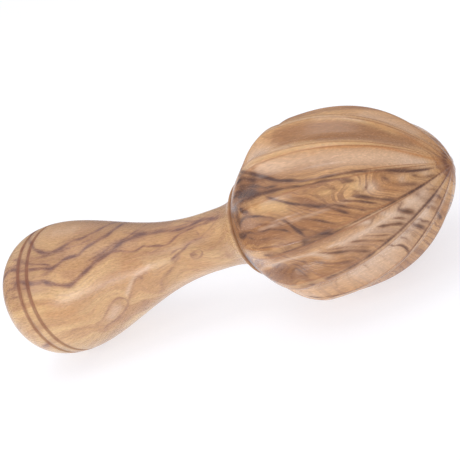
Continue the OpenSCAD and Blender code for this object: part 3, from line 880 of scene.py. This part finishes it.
def wood(name, look):
    """Oiled olive-like wood that follows the layers of a Figure, painted highlights and painted shade among
    them.
    """
    material = bpy.data.materials.new(name)
    material.use_nodes = True
    tree = material.node_tree
    shader = tree.nodes["Principled BSDF"]

    def layer(name):
        return Amount(tree, add_node(tree, "ShaderNodeAttribute", attribute_name=name).outputs["Fac"])

    def noise(vector, detail, roughness=0.5):
        inputs = {"Vector": vector, "Scale": 1, "Detail": detail, "Roughness": roughness}
        return Amount(tree, add_node(tree, "ShaderNodeTexNoise", inputs).outputs["Fac"])

    def ramp(value, low, high):
        inputs = {"Value": value, "From Min": low, "From Max": high}
        node = add_node(tree, "ShaderNodeMapRange", inputs, interpolation_type="SMOOTHSTEP")
        return Amount(tree, node.outputs["Result"])

    def mix(share, first, second):
        return add_node(tree, "ShaderNodeMix", {0: share, 6: first, 7: second}, data_type="RGBA").outputs[2]

    along = layer("along")
    spot = add_node(tree, "ShaderNodeTexCoord").outputs["Object"]

    def scattered(long, wide, detail, roughness=0.5):
        """Noise in real space, long and wide in mm, drawn out along the axis."""
        node = add_node(tree, "ShaderNodeMapping", {
            "Vector": spot,
            "Rotation": (0, math.radians(REST_TILT), 0),
            "Scale": (1 / (long * MM), 1 / (wide * MM), 1 / (wide * MM)),
        })
        return noise(node.outputs[0], detail, roughness)

    pores = scattered(3.2, 0.36, 3, 0.6)
    specks = scattered(1.4, 0.45, 1)
    grain = layer("grain") + (scattered(9, 3.5, 3) - 0.5) * look["wander"]

    def streaks(per_mm, stretch, seed, detail=2):
        """Noise that runs along the grain, thin where per_mm is high."""
        inputs = {"X": grain * per_mm, "Y": along * (per_mm * stretch), "Z": seed}
        return noise(add_node(tree, "ShaderNodeCombineXYZ", inputs).outputs[0], detail)

    broad = ramp(streaks(0.16, 0.1, 3.1), 0.36, 0.62)
    middle = ramp(streaks(0.55, 0.08, 7.7), 0.42, 0.66)
    fine = streaks(1.6, 0.05, 1.3, 3)
    strands = streaks(2.6, 0.03, 8.2, 3)
    stray = 1 - ramp(reckon(tree, "ABSOLUTE", streaks(0.22, 0.06, 5.5, 4) - 0.5), 0.002, 0.016)
    lively = 1 - layer("calm") * 0.7
    stray = stray * (layer("wild") * 0.8 + look["stray_veins"]) * lively
    edge = ramp(layer("across"), 0.9, 1.0) * (1 - ramp(layer("crest"), 0.0, 0.4))
    edge = edge * (look["edge_line"] + ramp(along, *EDGE_DARKENS) * 0.4)

    colour = mix(broad * lively, look["light"], look["middle"])
    colour = mix(middle * lively * look["banding"], colour, look["brown_and_shade"])
    # The brown layer also carries painted shade
    colour = mix(layer("brown_and_shade") * 0.8, colour, look["brown_and_shade"])
    colour = mix(ramp(fine, 0.47, 0.62) * lively * look["streaking"], colour, look["stain"])
    # The pale layer also carries painted highlights and painted sheen
    for paint, cover in (("gold", 0.85), ("pale_and_sheen", 0.75), ("warm", 0.75)):
        colour = mix(layer(paint) * cover, colour, look[paint])
    colour = mix(layer("crest") * look["burnish"], colour, look["crest"])
    colour = mix(edge, colour, look["edge"])
    dark = reckon(tree, "MAXIMUM", layer("dark"), stray) * (0.45 + strands * 1.1)
    colour = mix(ramp(dark, 0.0, 0.6) * 0.8, colour, look["stain"])
    colour = mix(ramp(dark, 0.28, 1.05), colour, look["vein"])
    colour = mix(layer("burnt"), colour, look["burnt"])
    speckle = (pores - 0.5) * look["pores"] + (specks - 0.5) * look["specks"]
    tone = 1 + (fine - 0.5) * 0.35 * lively + speckle
    toned = add_node(tree, "ShaderNodeHueSaturation", {"Value": tone, "Color": colour})
    bump = add_node(tree, "ShaderNodeBump", {
        "Strength": 0.35, "Distance": PORE_DEPTH * MM, "Height": pores + fine * 0.4,
    })
    feed(tree, shader.inputs["Base Color"], toned.outputs[0])
    feed(tree, shader.inputs["Roughness"], look["roughness"] + (pores - 0.5) * 0.2 + layer("burnt") * 0.2)
    feed(tree, shader.inputs["Normal"], bump.outputs[0])
    return material


PORE_DEPTH = 0.1
EDGE_DARKENS = (130, 158)
# The head's pale colour is also the colour of its painted sheen
HEAD_LOOK = {
    "light": (0.67, 0.365, 0.155), "middle": (0.51, 0.24, 0.092), "brown_and_shade": (0.30, 0.125, 0.048),
    "warm": (0.50, 0.20, 0.06), "gold": (0.68, 0.40, 0.17), "pale_and_sheen": (0.75, 0.53, 0.375),
    "crest": (0.66, 0.38, 0.16), "edge": (0.36, 0.135, 0.045),
    "vein": (0.10, 0.044, 0.030), "stain": (0.26, 0.115, 0.054), "burnt": (0.25, 0.088, 0.042),
    "banding": 0.5, "streaking": 0.75, "burnish": 0.45, "edge_line": 0.45, "wander": 1.5,
    "pores": 0.5, "specks": 0.35, "stray_veins": 0.1, "roughness": 0.25,
}
HANDLE_LOOK = dict(
    HEAD_LOOK, light=(0.70, 0.44, 0.21), middle=(0.58, 0.32, 0.145), brown_and_shade=(0.38, 0.195, 0.095),
    stain=(0.36, 0.175, 0.10), vein=(0.19, 0.09, 0.068), banding=0.35, streaking=0.42,
    wander=3.0, pores=0.42, specks=0.3, roughness=0.28,
)
FLUTED = {
    "Columns": 34, "Crest columns": 3.0, "Wall slope": 0.42, "Bottom round": 0.15,
    "Crest at foot": 10.0, "Crest at tip": 3.0, "Flute start": 2.3, "Flute run": 9.0,
    "Shoulder": SHOULDER, "Head length": HEAD_LENGTH,
}
PLAIN = {**FLUTED, "Columns": 26}
tree = lathe_tree()
head_wood = wood("head wood", HEAD_LOOK)
handle_wood = wood("handle wood", HANDLE_LOOK)
head = lathe("fluted_head", socket_outline(), crest_outline(), tree, head_wood, FLUTED)
handle = lathe("turned_handle", handle_outline(), [], tree, handle_wood, PLAIN)
draw_figure(head, 60, -0.44, HEAD_VEINS, HEAD_MARKS, HEAD_BURNS)
draw_figure(handle, -70, 0.0975, HANDLE_VEINS, HANDLE_MARKS, HANDLE_BURNS)

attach(head, "root")
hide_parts("reamer_head")
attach(handle, "root")
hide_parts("handle")

# Camera, where the photograph was taken from, in metres and degrees
CAMERA_PLACE = (0.29346, -0.36593, 0.22964)
CAMERA_TURN = (62.830, 29.061, 24.264)
FOCAL_LENGTH = 133.04
SENSOR_WIDTH = 36
camera = new_object("camera", bpy.data.cameras.new("camera"))
camera.location = CAMERA_PLACE
camera.rotation_euler = [math.radians(angle) for angle in CAMERA_TURN]
camera.data.lens = FOCAL_LENGTH
camera.data.sensor_width = SENSOR_WIDTH
camera.data.clip_start = 0.01
bpy.context.scene.camera = camera

# Floor and light, in metres and watts
FLOOR_SIZE = 4
CARD_GREY = (0.45, 0.45, 0.45)
TABLE_TINT = (0.94, 0.95, 1.0)
UPLIGHT_TINT = (0.80, 0.88, 1.0)
TABLE_GLOW = 0.80
CARD_LIFT = 0.66
TABLE_EDGE = (0.14, 0.32)
SKY_TINT = (0.95, 0.95, 1.0)
SKY_AT_HORIZON = 0.35
SKY_ABOVE = 0.80
SKY_RISE = (0.1, 0.5)


def card_paint():
    """Glowing white card, as on a light table, seen plain white by the camera."""
    material = bpy.data.materials.new("white card")
    material.use_nodes = True
    tree = material.node_tree
    tree.nodes.clear()
    rays = add_node(tree, "ShaderNodeLightPath").outputs
    to_camera = Amount(tree, rays["Is Camera Ray"])
    to_gloss = Amount(tree, rays["Is Glossy Ray"])
    spot = add_node(tree, "ShaderNodeTexCoord").outputs["Object"]
    away = add_node(tree, "ShaderNodeVectorMath", {0: spot}, operation="LENGTH").outputs["Value"]
    inputs = {"Value": away, "From Min": TABLE_EDGE[0], "From Max": TABLE_EDGE[1]}
    rim = add_node(tree, "ShaderNodeMapRange", inputs, interpolation_type="SMOOTHSTEP")
    beyond = Amount(tree, rim.outputs["Result"])
    tint = add_node(tree, "ShaderNodeMix", {0: to_camera, 6: UPLIGHT_TINT, 7: TABLE_TINT}, data_type="RGBA")
    glow = add_node(tree, "ShaderNodeEmission", {
        "Color": tint.outputs[2],
        "Strength": TABLE_GLOW + to_camera * (CARD_LIFT - TABLE_GLOW) - to_gloss * beyond * TABLE_GLOW,
    })
    card = add_node(tree, "ShaderNodeBsdfDiffuse", {"Color": CARD_GREY})
    both = add_node(tree, "ShaderNodeAddShader", {0: card.outputs[0], 1: glow.outputs[0]})
    add_node(tree, "ShaderNodeOutputMaterial", {"Surface": both.outputs[0]})
    return material


def studio_sky():
    """A white sky that is dimmer near the horizon."""
    world = bpy.data.worlds.new("studio")
    world.use_nodes = True
    tree = world.node_tree
    heading = add_node(tree, "ShaderNodeTexCoord").outputs["Generated"]
    height = add_node(tree, "ShaderNodeSeparateXYZ", {"Vector": heading}).outputs["Z"]
    level = add_node(tree, "ShaderNodeMapRange", {
        "Value": height, "From Min": SKY_RISE[0], "From Max": SKY_RISE[1],
        "To Min": SKY_AT_HORIZON, "To Max": SKY_ABOVE,
    })
    background = tree.nodes["Background"]
    feed(tree, background.inputs["Color"], SKY_TINT)
    feed(tree, background.inputs["Strength"], level.outputs["Result"])
    return world


def softbox(name, place, size, power, aim=(0, 0, 0.02)):
    lamp = bpy.data.lights.new(name, "AREA")
    lamp.shape = "RECTANGLE"
    lamp.size, lamp.size_y = size
    lamp.energy = power
    light = new_object(name, lamp)
    light.location = place
    light.rotation_euler = (Vector(aim) - Vector(place)).to_track_quat("-Z", "Y").to_euler()


bpy.ops.mesh.primitive_plane_add(size=FLOOR_SIZE)
floor = bpy.context.object
floor.name = "floor"
floor.data.materials.append(card_paint())
bpy.context.scene.world = studio_sky()
softbox("front_box", (-0.1, -0.28, 0.07), (0.05, 0.06), 0.12)
softbox("window_box", (-0.38, -0.46, 0.42), (0.22, 0.2), 0.40)
softbox("fill_box", (0.1, -0.9, 0.3), (0.7, 0.5), 1.25)
softbox("top_box", (-0.05, 0.0, 0.8), (0.4, 0.4), 1.1)
bpy.context.scene.view_settings.view_transform = "Standard"
